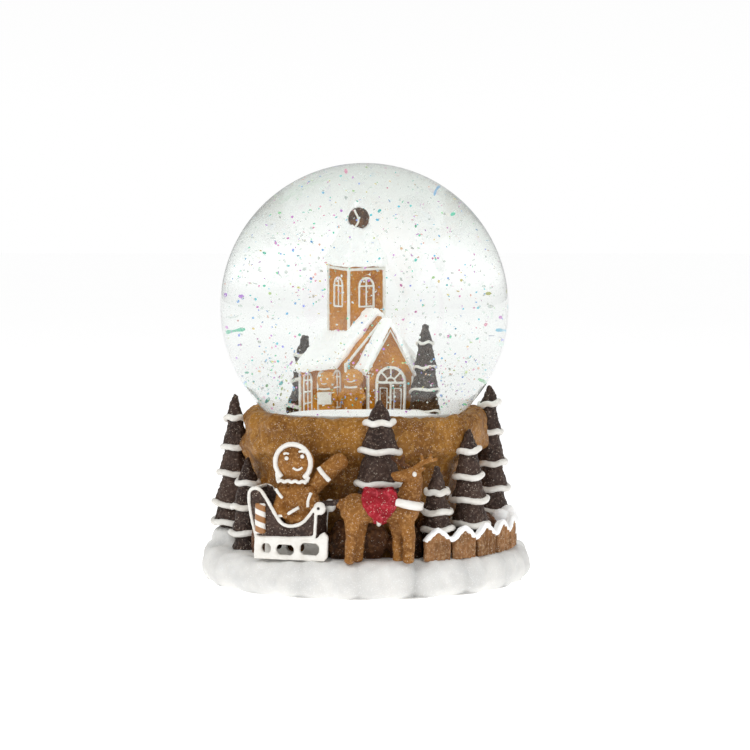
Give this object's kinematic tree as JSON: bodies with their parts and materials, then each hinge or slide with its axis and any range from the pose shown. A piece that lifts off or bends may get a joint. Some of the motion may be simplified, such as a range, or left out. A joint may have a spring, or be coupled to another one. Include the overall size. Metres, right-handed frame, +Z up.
{
  "type": "snow globe",
  "caption": "Musical snow globe: water-filled glass ball with a church scene on a round cast base with sleigh, reindeer, trees, fence and a wind-up movement inside.",
  "frame": {"origin": "centre of the underside, on the surface that the rest pads stand on", "axes": "+Z up through the ball; -Y is the front, where the sleigh and reindeer stand; +X to the viewer's right"},
  "size_m": [0.1162, 0.117, 0.1442],
  "materials": {
    "clear_glass": "clear polished blown glass",
    "black_rubber": "moulded stopper rubber",
    "water": "clear water with glitter",
    "white_snow": "painted white resin, sparkling",
    "gingerbread": "painted orange-brown resin",
    "dark_gingerbread": "painted dark brown resin",
    "white_icing": "raised icing lines, satin",
    "dark_chocolate": "painted dark brown resin",
    "cast_gingerbread": "cast stone resin, sugared gingerbread paint",
    "cast_snow": "cast stone resin, glittered snow paint",
    "cast_dark_rock": "cast stone resin, dark brown paint",
    "cast_biscuit": "cast stone resin, biscuit paint",
    "cast_chocolate": "cast stone resin, chocolate paint",
    "candy": "striped glazed paint",
    "red_sugar": "red sugar-grain paint",
    "cover_plastic": "moulded black plastic",
    "steel_screws": "zinc-plated",
    "pad_rubber": "die-cut foam rubber",
    "steel_parts": "turned steel",
    "key_steel": "plated steel",
    "brass_parts": "turned brass",
    "spring_steel": "hardened and ground",
    "cast_metal": "die-cast, as cast",
    "white_nylon": "moulded nylon"
  },
  "bodies": {
    "globe_and_base": {"glass_globe": "clear_glass", "globe_stopper": "black_rubber", "globe_water": "water", "figure_ground": "white_snow", "settled_snow": "white_snow", "church_tower": "gingerbread", "church_nave": "gingerbread", "nave_roof_snow": "white_snow", "church_porch": "dark_gingerbread", "porch_roof_snow": "white_snow", "church_door": "white_icing", "tower_spire": "white_snow", "spire_ornament": "dark_chocolate", "icing_windows": "white_icing", "inner_right_tree": "dark_chocolate", "inner_left_tree": "dark_chocolate", "gingerbread_girl": "gingerbread", "gingerbread_boy": "gingerbread", "gingerbread_drum": "cast_gingerbread", "snow_base": "cast_snow", "gingerbread_rocks": "cast_dark_rock", "fence_pickets": "cast_biscuit", "fence_icing": "cast_snow", "sleigh_body": "cast_chocolate", "sleigh_runners": "cast_snow", "rider_body": "cast_biscuit", "rider_head": "cast_biscuit", "rider_arm": "cast_biscuit", "candy_stick": "candy", "reindeer_body": "cast_biscuit", "reindeer_head": "cast_biscuit", "reindeer_antlers": "cast_chocolate", "saddle_blanket": "red_sugar", "girth_strap": "cast_snow", "harness_collar": "cast_snow", "harness_pole": "cast_chocolate", "bottom_cover": "cover_plastic", "cover_screws": "steel_screws", "rest_pads": "pad_rubber", "tone_comb": "spring_steel", "comb_screws": "steel_screws", "movement_bedplate": "cast_metal", "movement_screws": "steel_screws", "left_tall_tree": "cast_chocolate", "left_small_tree": "cast_chocolate", "front_tree": "cast_chocolate", "right_tall_tree": "cast_chocolate", "right_small_tree": "cast_chocolate", "right_back_tree": "cast_chocolate", "right_rear_tree": "cast_chocolate", "back_tall_tree": "cast_chocolate", "back_small_tree": "cast_chocolate"},
    "key": {"winding_key": "key_steel", "key_arbor": "steel_parts"},
    "barrel": {"spring_drum": "brass_parts", "mainspring": "spring_steel"},
    "cylinder": {"tune_cylinder": "brass_parts"},
    "governor": {"governor_wheel": "white_nylon"},
    "fan": {"governor_fan": "white_nylon"}
  },
  "joints": [
    {"name": "key_turn", "type": "hinge", "parent": "globe_and_base", "child": "key", "pos_m": [-0.009, 0, 0.0064], "axis": [0, 0, 1], "range_deg": [0, 1440]},
    {"name": "cylinder_spin", "type": "hinge", "parent": "globe_and_base", "child": "cylinder", "pos_m": [0.0001, 0, 0.0304], "axis": [1, 0, 0], "continuous": true},
    {"name": "barrel_spin", "type": "hinge", "parent": "globe_and_base", "child": "barrel", "pos_m": [-0.009, 0, 0.017], "axis": [0, 0, 1], "continuous": true},
    {"name": "governor_spin", "type": "hinge", "parent": "globe_and_base", "child": "governor", "pos_m": [0.018, 0.0092, 0.0304], "axis": [1, 0, 0], "continuous": true},
    {"name": "fan_spin", "type": "hinge", "parent": "globe_and_base", "child": "fan", "pos_m": [0.02, 0.01355, 0.0304], "axis": [0, 0, 1], "continuous": true}
  ],
  "couplings": [
    {"joint": "barrel_spin", "follows": "cylinder_spin", "ratio": 0.5},
    {"joint": "governor_spin", "follows": "cylinder_spin", "ratio": -3.2},
    {"joint": "fan_spin", "follows": "cylinder_spin", "ratio": 38.4}
  ]
}
